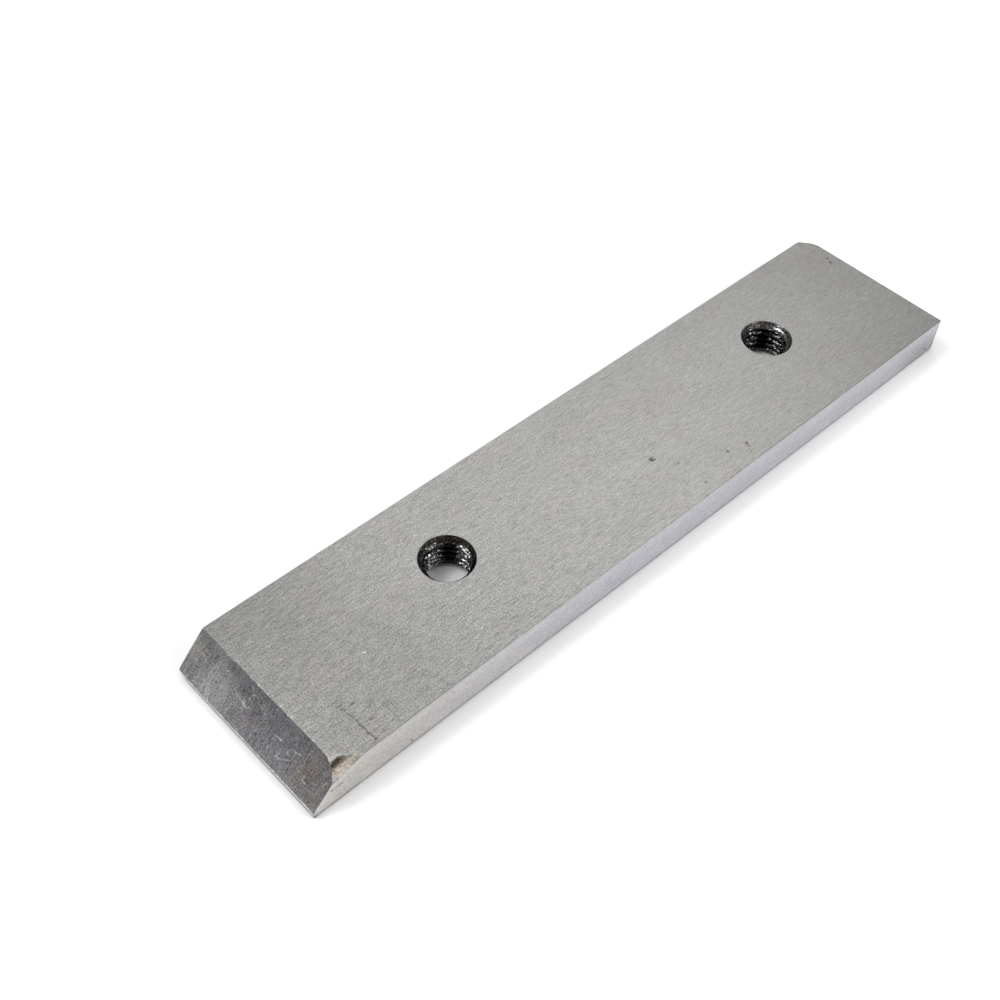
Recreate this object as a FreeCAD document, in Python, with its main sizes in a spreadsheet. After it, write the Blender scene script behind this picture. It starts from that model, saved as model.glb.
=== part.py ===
import FreeCAD, Part
import os

import Sketcher
from FreeCAD import Placement, Vector

# Shear blade: one flat bar of ground tool steel, lying on its bottom face.
# X runs along the blade from the bevelled end to the square end, Y across it from the front side
# to the back, and Z is up. The origin is the middle of the bottom of the blade's box.
# Lengths are in millimetres and angles in degrees.

# Driving dimensions: alias, value and what it measures.
SIZES = (
    ("overall_length", 204.0, "from the foot of the bevel to the square end, at the longest"),
    ("blade_width", 45.0, "from the front side to the back side"),
    ("blade_thickness", 10.0, "from the bottom face to the top face"),
    ("end_skew", 1.6, "angle by which the bevelled end is out of square"),
    ("bevel_run", 7.5, "how far the bevel reaches in over the top face"),
    ("land_height", 1.8, "upright strip left under the bevel"),
    ("hole_pitch", 107.1, "between the axes of the two tapped holes"),
    ("hole_end_distance", 39.7, "from the square end to the nearer hole axis"),
    ("hole_back_distance", 19.6, "from the back side to both hole axes"),
    ("tapping_bore", 10.2, "diameter at the thread crests of an M12 hole"),
    ("mouth_chamfer", 1.35, "45 degree chamfer on both mouths of each hole"),
    ("clip_along", 3.0, "clipped corner, measured along the back side"),
    ("clip_across", 3.6, "clipped corner, measured along the square end"),
    ("clip_round", 5.0, "radius that blends the clip into the square end"),
    ("break_along", 5.4, "broken corner: its reach past the bevel along the front side"),
    ("bend_along", 1.5, "broken corner: how far past the bevel its rim bends"),
    ("bend_across", 2.7, "broken corner: how far in from the front side its rim bends"),
    ("break_across", 5.8, "broken corner: its reach along the top edge of the bevel"),
    ("break_climb", 19.4, "angle at which the break climbs along the blade"),
    ("break_hollow", 11.0, "radius of the hollow between the front side and the bend"),
)

# A cutting outline runs past the blade by this much.
OVERSHOOT = 5.0

# Places that several features share, as expressions on the sheet.
FRONT = "-sizes.blade_width / 2"
BACK = "sizes.blade_width / 2"
SQUARE_END = "sizes.overall_length / 2"
BEVEL_FOOT_BACK = "-sizes.overall_length / 2"
BEVEL_FOOT_FRONT = f"{BEVEL_FOOT_BACK} + sizes.blade_width * tan(sizes.end_skew)"
BEVEL_TOP_FRONT = f"{BEVEL_FOOT_FRONT} + sizes.bevel_run / cos(sizes.end_skew)"
NEAR_HOLE = f"{SQUARE_END} - sizes.hole_end_distance"
FAR_HOLE = f"{NEAR_HOLE} - sizes.hole_pitch"
HOLE_LINE = f"{BACK} - sizes.hole_back_distance"


def make_sheet(document):
    """Put every driving dimension in a cell with its own alias."""
    sheet = document.addObject("Spreadsheet::Sheet", "sizes")
    for row, (alias, value, meaning) in enumerate(SIZES, start=1):
        sheet.set(f"A{row}", meaning)
        sheet.set(f"B{row}", str(value))
        sheet.setAlias(f"B{row}", alias)
    document.recompute()
    return sheet


def flat_sketch(body, name, height="0"):
    """Start a sketch seen from above, at a height that an expression gives."""
    ground = next(plane for plane in body.Origin.OriginFeatures if plane.Role == "XY_Plane")
    sketch = body.newObject("Sketcher::SketchObject", name)
    sketch.AttachmentSupport = [(ground, "")]
    sketch.MapMode = "FlatFace"
    sketch.setExpression("AttachmentOffset.Base.z", height)
    return sketch


def bind(sketch, constraint, name, expression):
    """Add a dimension to the sketch and drive it by an expression."""
    sketch.addConstraint(constraint)
    sketch.renameConstraint(sketch.ConstraintCount - 1, name)
    sketch.setExpression(f"Constraints.{name}", expression)


def pin_point(sketch, geometry, end, name, across_x, across_y):
    """Fix one point of a line, arc or circle by its X and Y from the sketch's origin."""
    value_x = sketch.evalExpression(across_x)
    value_y = sketch.evalExpression(across_y)
    from_origin = (-1, 1, geometry, end)
    bind(sketch, Sketcher.Constraint("DistanceX", *from_origin, value_x), f"{name}_x", across_x)
    bind(sketch, Sketcher.Constraint("DistanceY", *from_origin, value_y), f"{name}_y", across_y)


def draw_loop(sketch, corners, arc_from=None, radius=None):
    """Join corners (name, X expression, Y expression) into one loop, anticlockwise.

    The side that leaves the corner named arc_from bulges outwards as an arc of that radius.
    """
    points = []
    for name, across_x, across_y in corners:
        points.append(Vector(sketch.evalExpression(across_x), sketch.evalExpression(across_y), 0))
    for side, (name, across_x, across_y) in enumerate(corners):
        start = points[side]
        finish = points[(side + 1) % len(points)]
        if name == arc_from:
            chord = finish - start
            outwards = Vector(chord.y, -chord.x, 0).normalize()
            bend = sketch.evalExpression(radius)
            sag = chord.Length ** 2 / (8 * bend)
            middle = (start + finish) / 2 + outwards * sag
            sketch.addGeometry(Part.Arc(start, middle, finish), False)
            bind(sketch, Sketcher.Constraint("Radius", side, bend), f"{name}_radius", radius)
        else:
            sketch.addGeometry(Part.LineSegment(start, finish), False)
        pin_point(sketch, side, 1, name, across_x, across_y)
    for side in range(len(corners)):
        following = (side + 1) % len(corners)
        sketch.addConstraint(Sketcher.Constraint("Coincident", side, 2, following, 1))


def edge_at(feature, across_x, across_y, height):
    """Name the edge of a feature whose centre lies nearest to a place given by expressions."""
    values = [feature.evalExpression(text) for text in (across_x, across_y, height)]
    place = Vector(*values)
    distances = [edge.CenterOfMass.distanceToPoint(place) for edge in feature.Shape.Edges]
    return f"Edge{distances.index(min(distances)) + 1}"


def check_cut(before, after):
    """Stop if a cut took nothing off the blade."""
    if after.Shape.Volume >= before.Shape.Volume:
        raise RuntimeError(f"{after.Label} cut nothing")


def add_bar(body):
    """Pad the plan outline: square at one end, skewed at the other, with one corner clipped."""
    sketch = flat_sketch(body, "bar_outline")
    draw_loop(sketch, (
        ("foot_front", BEVEL_FOOT_FRONT, FRONT),
        ("square_front", SQUARE_END, FRONT),
        ("clip_end", SQUARE_END, f"{BACK} - sizes.clip_across"),
        ("clip_back", f"{SQUARE_END} - sizes.clip_along", BACK),
        ("foot_back", BEVEL_FOOT_BACK, BACK),
    ))
    bar = body.newObject("PartDesign::Pad", "bar")
    bar.Profile = sketch
    bar.setExpression("Length", "sizes.blade_thickness")
    body.Document.recompute()
    return bar


def add_bevel(body, bar):
    """Grind the skewed end back from the top face, and leave the land under it."""
    bevel = body.newObject("PartDesign::Chamfer", "end_bevel")
    bevel.Base = (bar, [edge_at(bar, BEVEL_FOOT_BACK, "0", "sizes.blade_thickness")])
    bevel.ChamferType = "Two distances"
    bevel.setExpression("Size", "sizes.blade_thickness - sizes.land_height")
    bevel.setExpression("Size2", "sizes.bevel_run")
    body.Document.recompute()
    check_cut(bar, bevel)
    return bevel


def add_clip_round(body, bevel):
    """Blend the clipped corner into the square end."""
    clip = body.newObject("PartDesign::Fillet", "clip_blend")
    corner = (SQUARE_END, f"{BACK} - sizes.clip_across", "sizes.blade_thickness / 2")
    clip.Base = (bevel, [edge_at(bevel, *corner)])
    clip.setExpression("Radius", "sizes.clip_round")
    body.Document.recompute()
    check_cut(bevel, clip)
    return clip


def add_holes(body, clip):
    """Bore the two holes through the blade and chamfer their four mouths."""
    sketch = flat_sketch(body, "hole_centres")
    for number, (name, across_x) in enumerate((("near", NEAR_HOLE), ("far", FAR_HOLE))):
        centre = Vector(sketch.evalExpression(across_x), sketch.evalExpression(HOLE_LINE), 0)
        radius = sketch.evalExpression("sizes.tapping_bore / 2")
        sketch.addGeometry(Part.Circle(centre, Vector(0, 0, 1), radius), False)
        pin_point(sketch, number, 3, name, across_x, HOLE_LINE)
        bore = Sketcher.Constraint("Diameter", number, 2 * radius)
        bind(sketch, bore, f"{name}_bore", "sizes.tapping_bore")
    holes = body.newObject("PartDesign::Pocket", "hole_bores")
    holes.Profile = sketch
    holes.Type = "ThroughAll"
    holes.Reversed = True
    body.Document.recompute()
    check_cut(clip, holes)

    rims = []
    for across_x in (NEAR_HOLE, FAR_HOLE):
        for height in ("0", "sizes.blade_thickness"):
            rims.append(edge_at(holes, across_x, HOLE_LINE, height))
    mouths = body.newObject("PartDesign::Chamfer", "hole_mouths")
    mouths.Base = (holes, rims)
    mouths.setExpression("Size", "sizes.mouth_chamfer")
    body.Document.recompute()
    check_cut(holes, mouths)
    return mouths


def add_broken_corner(body, mouths):
    """Break off the front corner of the bevel.

    The outline on the top face is the rim of the break. It is carried down and back towards
    the bevelled end, so that the break climbs along the blade and dies out at the rim.
    """
    rim_back_x = f"({BEVEL_TOP_FRONT} - sizes.break_across * tan(sizes.end_skew))"
    rim_back_y = f"({FRONT} + sizes.break_across)"
    bend_x = f"({BEVEL_TOP_FRONT} + sizes.bend_along)"
    bend_y = f"({FRONT} + sizes.bend_across)"
    front_x = f"{BEVEL_TOP_FRONT} + sizes.break_along"
    past_end = f"{BEVEL_FOOT_BACK} - {OVERSHOOT}"
    past_front = f"{FRONT} - {OVERSHOOT}"

    sketch = flat_sketch(body, "break_rim", "sizes.blade_thickness")
    draw_loop(sketch, (
        ("rim_front", front_x, FRONT),
        ("rim_bend", bend_x, bend_y),
        ("rim_run_out", f"2 * {rim_back_x} - {bend_x}", f"2 * {rim_back_y} - {bend_y}"),
        ("outer_back", past_end, f"2 * {rim_back_y} - {bend_y}"),
        ("outer_front", past_end, past_front),
        ("outer_right", front_x, past_front),
    ), arc_from="rim_front", radius="sizes.break_hollow")

    corner = body.newObject("PartDesign::Pocket", "broken_corner")
    corner.Profile = sketch
    corner.UseCustomVector = True
    corner.AlongSketchNormal = False
    corner.setExpression("Direction.x", "-cos(sizes.break_climb)")
    corner.setExpression("Direction.y", "0")
    corner.setExpression("Direction.z", "-sin(sizes.break_climb)")
    reach = f"sizes.break_along + sizes.bevel_run + {OVERSHOOT}"
    corner.setExpression("Length", f"({reach}) / cos(sizes.break_climb)")
    body.Document.recompute()
    check_cut(mouths, corner)
    return corner


def check_document(document):
    """Stop if any object failed to compute."""
    for item in document.Objects:
        if "Invalid" in item.State or "Error" in item.State:
            raise RuntimeError(f"{item.Label} failed: {item.State}")


def write_node(body):
    """Check the finished solid and write it under its own name."""
    shape = body.Shape
    if shape.isNull() or not shape.isValid() or len(shape.Solids) != 1:
        raise RuntimeError(f"{body.Label} is not one valid solid")
    os.makedirs("parts", exist_ok=True)
    shape.exportStep(f"parts/{body.Label}.step")
    box = shape.BoundBox
    print(body.Label, f"{box.XLength:.2f} x {box.YLength:.2f} x {box.ZLength:.2f} mm,")
    print(f"volume {shape.Volume:.1f} mm3, {len(shape.Faces)} faces")


def build_blade(document):
    """Model the whole blade as one body."""
    body = document.addObject("PartDesign::Body", "shear_blade")
    body.Label = "shear_blade"
    body.Placement = Placement()
    bar = add_bar(body)
    bevel = add_bevel(body, bar)
    clip = add_clip_round(body, bevel)
    mouths = add_holes(body, clip)
    add_broken_corner(body, mouths)
    return body


document = FreeCAD.newDocument("shear_blade")
make_sheet(document)
blade = build_blade(document)
check_document(document)
write_node(blade)
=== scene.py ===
# %% [markdown]
# # A ground steel shear blade
# A shear blade is a hard flat bar that is bolted into a plate shear by two tapped holes. One end
# of this one is ground to a bevel, and a corner of that bevel has broken off. The CAD model
# already has the right size and main shapes, so it is loaded first as a fixed frame. Everything
# below works in that frame, with lengths in millimetres until the mesh is made.

# %% Load the frame and keep its box
import math

import bmesh
import bpy
import numpy as np
from mathutils import Matrix, Vector


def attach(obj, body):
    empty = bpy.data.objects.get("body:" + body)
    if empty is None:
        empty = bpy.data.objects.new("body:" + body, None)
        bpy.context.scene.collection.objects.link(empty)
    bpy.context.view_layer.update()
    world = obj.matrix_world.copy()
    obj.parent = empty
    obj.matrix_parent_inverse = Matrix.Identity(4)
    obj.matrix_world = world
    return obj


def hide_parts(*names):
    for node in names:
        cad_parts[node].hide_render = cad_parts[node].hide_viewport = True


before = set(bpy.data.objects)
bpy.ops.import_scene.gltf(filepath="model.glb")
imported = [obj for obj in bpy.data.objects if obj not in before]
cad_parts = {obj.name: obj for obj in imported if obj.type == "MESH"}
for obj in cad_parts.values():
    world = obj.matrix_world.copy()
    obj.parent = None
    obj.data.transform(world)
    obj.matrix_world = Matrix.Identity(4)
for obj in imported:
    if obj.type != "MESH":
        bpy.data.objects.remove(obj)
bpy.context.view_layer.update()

MM = 0.001

# %% [markdown]
# ## The lines of the blade
# The real blade is a slice of bar stock, so a few numbers give most of it. The bevelled end is a
# little out of square, which is why its two edges are functions of the place across the blade.
# X runs along the blade, Y from the front side to the back side and Z up.

# %% Lengths of the bar and its bevel
LENGTH, WIDTH, THICK = 204.0, 45.0, 10.0
FRONT, BACK = -WIDTH / 2, WIDTH / 2
SKEW = math.tan(math.radians(1.6))
RUN, LAND = 7.5, 1.8


def foot(y):
    """X of the bevel's foot: the end of the box, moved in towards the front by the skew."""
    return -LENGTH / 2 + (BACK - y) * SKEW


def brow(y):
    """X of the bevel's top edge: the foot plus the bevel's run, measured along the blade."""
    return foot(y) + RUN * math.hypot(1, SKEW)


def bevel_height(x, y):
    """Height of the bevel: the land, plus the distance from the foot times the slope."""
    return LAND + (x - foot(y)) / (brow(y) - foot(y)) * (THICK - LAND)


print("foot at the front", round(foot(FRONT), 3), "brow at the front", round(brow(FRONT), 3))

# %% [markdown]
# The far end is square, but its back corner is clipped, and an arc blends the clip into the end.
# As X of the end is one number for every Y, the whole border is again a function.

# %% The square end and its clipped corner
CLIP_ALONG, CLIP_ACROSS, CLIP_ROUND = 3.0, 3.6, 5.0
clip_turn = math.atan2(CLIP_ALONG, CLIP_ACROSS)
clip_tangent = CLIP_ROUND * math.tan(clip_turn / 2)
ARC_START = BACK - CLIP_ACROSS - clip_tangent
ARC_END = BACK - CLIP_ACROSS + clip_tangent * math.cos(clip_turn)


def square_end(y):
    """X of the far end: straight, then an arc of the clip's radius, then the clip's line."""
    y = np.asarray(y, float)
    rise = np.clip(y - ARC_START, 0, CLIP_ROUND)
    arc = LENGTH / 2 - CLIP_ROUND + np.sqrt(CLIP_ROUND**2 - rise**2)
    line = LENGTH / 2 - CLIP_ALONG + (BACK - y) * CLIP_ALONG / CLIP_ACROSS
    return np.where(y < ARC_END, arc, line)


print("the clip takes", round(float(LENGTH / 2 - square_end(BACK)), 2), "mm off the back side")

# %% [markdown]
# ## Random roughness that is the same on every run
# Worn steel is never quite smooth. A table of seeded random numbers, blended smoothly between
# its places, gives bumps of any size as one array operation. A bell curve goes with it, for all
# that fades away from a place.

# %% A smooth random surface and a bell curve
def grain(u, v, seed, size=64):
    """Random heights from -1 to 1 on whole coordinates, joined by a smooth step between them."""
    table = np.random.default_rng(seed).uniform(-1, 1, (size, size))
    i, j = np.floor(u).astype(int), np.floor(v).astype(int)
    s, t = u - i, v - j
    s, t = s * s * (3 - 2 * s), t * t * (3 - 2 * t)
    i, j, i_next, j_next = i % size, j % size, (i + 1) % size, (j + 1) % size
    low = table[i, j] * (1 - s) + table[i_next, j] * s
    high = table[i, j_next] * (1 - s) + table[i_next, j_next] * s
    return low * (1 - t) + high * t


def bell(distance, reach):
    """One at no distance, about a third at the reach and next to nothing at twice the reach."""
    return np.exp(-((distance / reach) ** 2))


print("a bell at its reach:", round(float(bell(1, 1)), 2))

# %% [markdown]
# ## The broken corner
# A chip has left the front corner of the bevel. Seen from above, the rim is a short curve. Under
# it lies a steep little wall, and then a rough scoop that runs out at the front side. Next to the
# scoop the bevel's top edge is only worn down. So the corner is a height over the plan, made of
# three parts that are added up: a worn slope, a hollow under the rim, and grain.

# %% Where the break meets the bevel and the top face
BREAK_ACROSS, ARC_DEPTH, ARC_POWER = 5.8, 2.57, 2.3
corner_x = foot(FRONT)


def bevel_arc(y):
    """X where the bevel stops: the brow, less a curve that grows towards the front corner."""
    left = np.clip(1 - (y - FRONT) / BREAK_ACROSS, 0, None)
    return brow(y) - ARC_DEPTH * left**ARC_POWER


def worn_edge(y):
    """X where the worn slope has died out on the top face."""
    across = [0.0, 0.64, 1.72, 2.44, 2.7, 3.5, 4.5, 5.8, 7.5]
    along = [12.95, 11.9, 10.75, 9.75, 9.7, 9.3, 8.6, 7.9, 7.4]
    return np.maximum(corner_x + np.interp(y - FRONT, across, along), brow(y) + 0.1)


def scoop_reach(x, y):
    """How far a place lies inside the scoop's rim: above nought inside it, in millimetres."""
    along = [5.8, 6.75, 7.65, 8.9, 9.55, 10.7, 11.9, 12.95]
    across = [2.2, 2.75, 2.93, 2.85, 2.52, 1.73, 0.66, 0.0]
    return np.interp(x - corner_x, along, across) - (y - FRONT)


print("the arc takes", round(float(brow(FRONT) - bevel_arc(FRONT)), 2), "mm off the bevel's top")

# %% The height of the broken corner
WALL_REACH, WALL_POWER, ARC_REACH, GRAIN_LOW = 0.42, 1.6, 0.45, 0.05
BREAK_GRAINS = ((0.62, 0.55, 3, 0.05), (0.26, 0.24, 5, 0.045))


def corner_height(x, y):
    """The worn slope from the arc up to the top face, less the hollow and the grain."""
    across = y - FRONT
    arc = bevel_arc(y)
    rise = np.clip((x - arc) / (worn_edge(y) - arc), 0, 1)
    crown = np.interp(across, [0, 3], [1.0, 1.6])
    slope = THICK - (THICK - bevel_height(arc, y)) * (1 - rise) ** crown

    reach = scoop_reach(x, y)
    wall = 1 - np.exp(-((np.clip(reach, 0, None) / WALL_REACH) ** WALL_POWER))
    from_arc = 1 - np.exp(-np.clip(x - arc, 0, None) / ARC_REACH)
    along, depths = [5, 6.4, 7.4, 8.8, 10.4, 12, 13], [0.1, 0.6, 1.1, 1.0, 0.5, 0.2, 0]
    hollow = np.interp(x - corner_x, along, depths) * wall * from_arc
    hollow *= np.clip(across / 2.3, 0, 1) ** 0.7

    inside = np.clip(reach / 0.3, 0, 1) * from_arc
    rough = sum(grain(x / long, y / wide, seed) * high for long, wide, seed, high in BREAK_GRAINS)
    return slope - hollow - inside * (rough + GRAIN_LOW)


probe = corner_height(np.array([corner_x + 8.0]), np.array([FRONT + 1.5]))
print("the scoop lies", round(float(THICK - probe[0]), 2), "mm under the top face")

# %% [markdown]
# ## The plan grid
# The blade without its holes is a height over its plan: every row of the grid runs along the
# blade, every column across it, and the rows and columns are close together where the shape is
# fine. Round each hole a square is left free, and the rows and columns that border it sit where
# the spokes of a round grid will reach the square.

# %% Rows and the squares round the holes
HOLE_PITCH, HOLE_FROM_END, HOLE_FROM_BACK = 107.1, 39.7, 19.6
HOLE_Y = BACK - HOLE_FROM_BACK
HOLE_X = (LENGTH / 2 - HOLE_FROM_END - HOLE_PITCH, LENGTH / 2 - HOLE_FROM_END)
SPOKES, HALF_SQUARE = 128, 9.0
side_cells = SPOKES // 4
side_places = HALF_SQUARE * np.tan(np.linspace(-math.pi / 4, math.pi / 4, side_cells + 1))


def steps(start, end, cells):
    """Evenly spaced places from start to end, without the first one."""
    return np.linspace(start, end, cells + 1)[1:]


rows = np.concatenate([
    [FRONT],
    steps(FRONT, FRONT + BREAK_ACROSS, 32),
    steps(FRONT + BREAK_ACROSS, HOLE_Y - HALF_SQUARE, 14),
    HOLE_Y + side_places[1:],
    steps(HOLE_Y + HALF_SQUARE, ARC_START, 6),
    steps(ARC_START, ARC_END, 10),
    steps(ARC_END, BACK, 8),
])
print("rows:", len(rows), "and holes at X", [round(x, 1) for x in HOLE_X], "Y", round(HOLE_Y, 1))

# %% Columns, in blocks from the bevelled end to the square end
# The close columns behind the brow reach further at the front, where they hold the break.
STRIP, STRIP_MORE, STRIP_FADE = 2.0, 4.2, 2.2


def between(left, right, cells):
    """Columns of one block: even shares of the way from its left border to its right one."""
    share = np.linspace(0, 1, cells + 1)[1:]
    return left[:, None] + (right - left)[:, None] * share


level = np.ones_like(rows)
strip_end = brow(rows) + STRIP + STRIP_MORE * bell(rows - FRONT, STRIP_FADE)
blocks = [
    foot(rows)[:, None],
    between(foot(rows), bevel_arc(rows), 34),
    between(bevel_arc(rows), strip_end, 34),
    between(strip_end, (HOLE_X[0] - HALF_SQUARE) * level, 16),
    (HOLE_X[0] + side_places[1:]) * level[:, None],
    between((HOLE_X[0] + HALF_SQUARE) * level, (HOLE_X[1] - HALF_SQUARE) * level, 28),
    (HOLE_X[1] + side_places[1:]) * level[:, None],
    between((HOLE_X[1] + HALF_SQUARE) * level, square_end(rows), 14),
]
plan_x = np.concatenate(blocks, axis=1)
plan_y = np.broadcast_to(rows[:, None], plan_x.shape)
block_ends = np.cumsum([block.shape[1] for block in blocks]) - 1
print("plan grid:", plan_x.shape[0], "rows by", plan_x.shape[1], "columns")

# %% [markdown]
# ## Patches of surface
# Each patch is a grid of points, and its faces follow from the grid by counting. A patch also
# carries the name of the surface that it belongs to, so that edges and finishes can be chosen
# by surface later. The land's back corner has been knocked round in use. Every patch passes
# through the same small pull there, so neighbours still meet in the same points.

# %% Collect grids of points as patches
SURFACES = ("top", "bevel", "land", "front", "end", "back", "bottom", "hole")
KNOCK_REACH, KNOCK_ALONG, KNOCK_ACROSS = 1.6, 0.4, 0.3
patches = []


def knocked(x, y, z):
    """Points near the land's back corner, drawn inwards by a bell curve of their distance."""
    away = (x - foot(BACK)) ** 2 + (y - BACK) ** 2 + z**2
    pull = np.exp(-away / KNOCK_REACH**2)
    return x + KNOCK_ALONG * pull, y - KNOCK_ACROSS * pull, z


def add_patch(x, y, z, surface, keep=None):
    """Join neighbouring grid points into four-sided faces; keep picks the cells that are used."""
    x, y, z = knocked(*np.broadcast_arrays(x, y, z))
    index = np.arange(x.size).reshape(x.shape)
    quads = np.stack([index[:-1, :-1], index[:-1, 1:], index[1:, 1:], index[1:, :-1]], axis=-1)
    codes = np.broadcast_to(surface, quads.shape[:2])
    keep = np.ones(quads.shape[:2], bool) if keep is None else keep
    patches.append((np.stack([x, y, z], -1).reshape(-1, 3), quads[keep], codes[keep]))


columns = np.arange(plan_x.shape[1] - 1)
row_cells = np.arange(len(rows) - 1)
skin_z = np.where(
    np.arange(plan_x.shape[1]) <= block_ends[1],
    bevel_height(plan_x, plan_y),
    corner_height(plan_x, plan_y),
)
skin_codes = np.where(columns < block_ends[1], SURFACES.index("bevel"), SURFACES.index("top"))
first_hole_row = int(np.argmin(abs(rows - (HOLE_Y - HALF_SQUARE))))
in_hole_rows = (row_cells >= first_hole_row) & (row_cells < first_hole_row + side_cells)
in_square = np.zeros(len(columns), bool)
for block in (3, 5):
    in_square |= (columns >= block_ends[block]) & (columns < block_ends[block] + side_cells)
solid_cells = ~(in_hole_rows[:, None] & in_square)

add_patch(plan_x, plan_y, skin_z, skin_codes, solid_cells)
add_patch(plan_x, plan_y, 0.0, SURFACES.index("bottom"), solid_cells)
print("cells left for the skin:", int(solid_cells.sum()), "of", solid_cells.size)

# %% [markdown]
# The sides of the bar are the border of the plan, carried straight down to the floor. Every
# point of the border knows its own height, so the sides follow the bevel and the break.

# %% The upright sides
wall_share = np.linspace(0, 1, 9)[:, None]
for edge, surface in (
    ((0, slice(None)), "front"),
    ((slice(None), -1), "end"),
    ((-1, slice(None)), "back"),
    ((slice(None), 0), "land"),
):
    add_patch(plan_x[edge], plan_y[edge], wall_share * skin_z[edge], SURFACES.index(surface))
print("patches so far:", len(patches))

# %% [markdown]
# ## The tapped holes
# A tap has cut an M12 thread through each hole, and a tool has broken both mouths into cones,
# 1.8 mm deep and steeper than 45 degrees. The thread is a profile carried along a helix: at each
# angle its rows sit a little higher, by one pitch in a full turn. Where the cone is wider than
# the thread, the cone wins, so the thread runs out into it just as a real one does.

# %% The thread and the cones at its mouths
PITCH, CREST_R, ROOT_R, TORN_R = 1.75, 5.1, 6.0, 5.5
MOUTH_R, MOUTH_DEEP = 6.45, 1.8
THREAD_STARTS, THREAD_SEEDS = (0.35, 1.15), (11, 15)
profile_phase = np.array([0.0, 0.125, 0.25, 0.354, 0.458, 0.5625, 0.625, 0.6875, 0.79, 0.896])
profile_share = np.array([0.0, 0.0, 0.0, 1 / 3, 2 / 3, 1.0, 1.0, 1.0, 2 / 3, 1 / 3])
spoke_angles = np.linspace(0, 2 * math.pi, SPOKES + 1)
spoke_x, spoke_y = np.cos(spoke_angles), np.sin(spoke_angles)


def add_round_patch(centre_x, radius, z, surface):
    """A patch of points at some radius from a hole's axis, with one column for each spoke."""
    add_patch(
        centre_x + radius * spoke_x, HOLE_Y + radius * spoke_y, z, SURFACES.index(surface)
    )


def thread_wall(centre_x, start, seed):
    """The thread or the cone, whichever is wider, over helical rows and angles, a little torn."""
    turns = math.ceil(THICK / PITCH) + 2
    phase = (np.arange(-1, turns)[:, None] + profile_phase).ravel()
    z = PITCH * (phase[:, None] + spoke_angles / (2 * math.pi) - 1) + start
    z = np.clip(z, 0, THICK)
    thread = CREST_R + (ROOT_R - CREST_R) * np.tile(profile_share, turns + 1)[:, None]
    from_mouth = np.minimum(z, THICK - z)
    cone = MOUTH_R - from_mouth * (MOUTH_R - CREST_R) / MOUTH_DEEP
    round_x, round_y = spoke_x * TORN_R, spoke_y * TORN_R
    torn = grain(round_x / 0.7 + z * 0.9, round_y / 0.7 - z * 1.1, seed) * 0.035
    torn += grain(round_x / 0.3 - z * 1.7, round_y / 0.3 + z * 1.3, seed + 1) * 0.02
    radius = np.maximum(thread, cone) + torn * np.clip(from_mouth / 0.4, 0, 1)
    add_round_patch(centre_x, radius, z, "hole")


def spoke_patch(centre_x, height):
    """Rings that change evenly from the mouth's circle to the square of the plan grid."""
    reach = HALF_SQUARE / np.maximum(abs(spoke_x), abs(spoke_y))
    share = (np.linspace(0, 1, 8) ** 1.3)[:, None]
    radius = MOUTH_R + (reach - MOUTH_R) * share
    add_round_patch(centre_x, radius, height, "top" if height else "bottom")


for centre_x, start, seed in zip(HOLE_X, THREAD_STARTS, THREAD_SEEDS):
    thread_wall(centre_x, start, seed)
    for height in (THICK, 0.0):
        spoke_patch(centre_x, height)
print("patches in all:", len(patches))

# %% [markdown]
# ## One closed mesh
# The patches meet in the same points, so merging those points closes the blade. Faces from
# different patches can still point different ways, and one call turns them all outwards.

# %% Join the patches
MERGE_WITHIN = 0.004


def join_patches():
    """Stack the patches, merge the points that they share and return a closed mesh."""
    points = np.concatenate([patch[0] for patch in patches]) * MM
    starts = np.cumsum([0] + [len(patch[0]) for patch in patches[:-1]])
    faces = np.concatenate([patch[1] + start for patch, start in zip(patches, starts)])
    codes = np.concatenate([patch[2] for patch in patches])
    mesh = bpy.data.meshes.new("shear_blade_steel")
    mesh.from_pydata(points, [], faces.tolist())
    mesh.attributes.new("surface", "INT", "FACE").data.foreach_set("value", codes.astype(np.int32))
    work = bmesh.new()
    work.from_mesh(mesh)
    bmesh.ops.remove_doubles(work, verts=work.verts, dist=MERGE_WITHIN * MM)
    bmesh.ops.recalc_face_normals(work, faces=work.faces)
    open_edges = sum(1 for edge in work.edges if len(edge.link_faces) != 2)
    volume = work.calc_volume(signed=True) / MM**3
    work.to_mesh(mesh)
    work.free()
    print("open edges:", open_edges, "volume in mm3:", round(volume))
    return mesh


def add_object(name, data):
    """A new object in the scene, made from a mesh, a lamp or a camera."""
    thing = bpy.data.objects.new(name, data)
    bpy.context.scene.collection.objects.link(thing)
    return thing


steel_mesh = join_patches()
blade = add_object("blade_steel", steel_mesh)
print("faces:", len(steel_mesh.polygons))

# %% [markdown]
# ## Marking the break and its painted shade
# The inside of a break looks different from ground steel: it is grainy, brownish and darkest under
# its rim, where stain and painted shade lie together. It isn't a face of its own, so four numbers
# are stored on each point of the mesh: how broken, how stained and shaded, how browned, and how
# much painted shade darkens the worn slope beside it. The finish reads them as attributes.

# %% Store four marks on each point
MARKS = ("broken", "stain_and_shade", "browned", "painted_slope_shade")
BREAK_FLOOR, BREAK_ALONG, SCOOP_ACROSS = 6, 13, 3


def read_all(items, name, kind=float, wide=1):
    """One property of all points, edges or faces, as an array."""
    values = np.empty(wide * len(items), kind)
    items.foreach_get(name, values)
    return values


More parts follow.
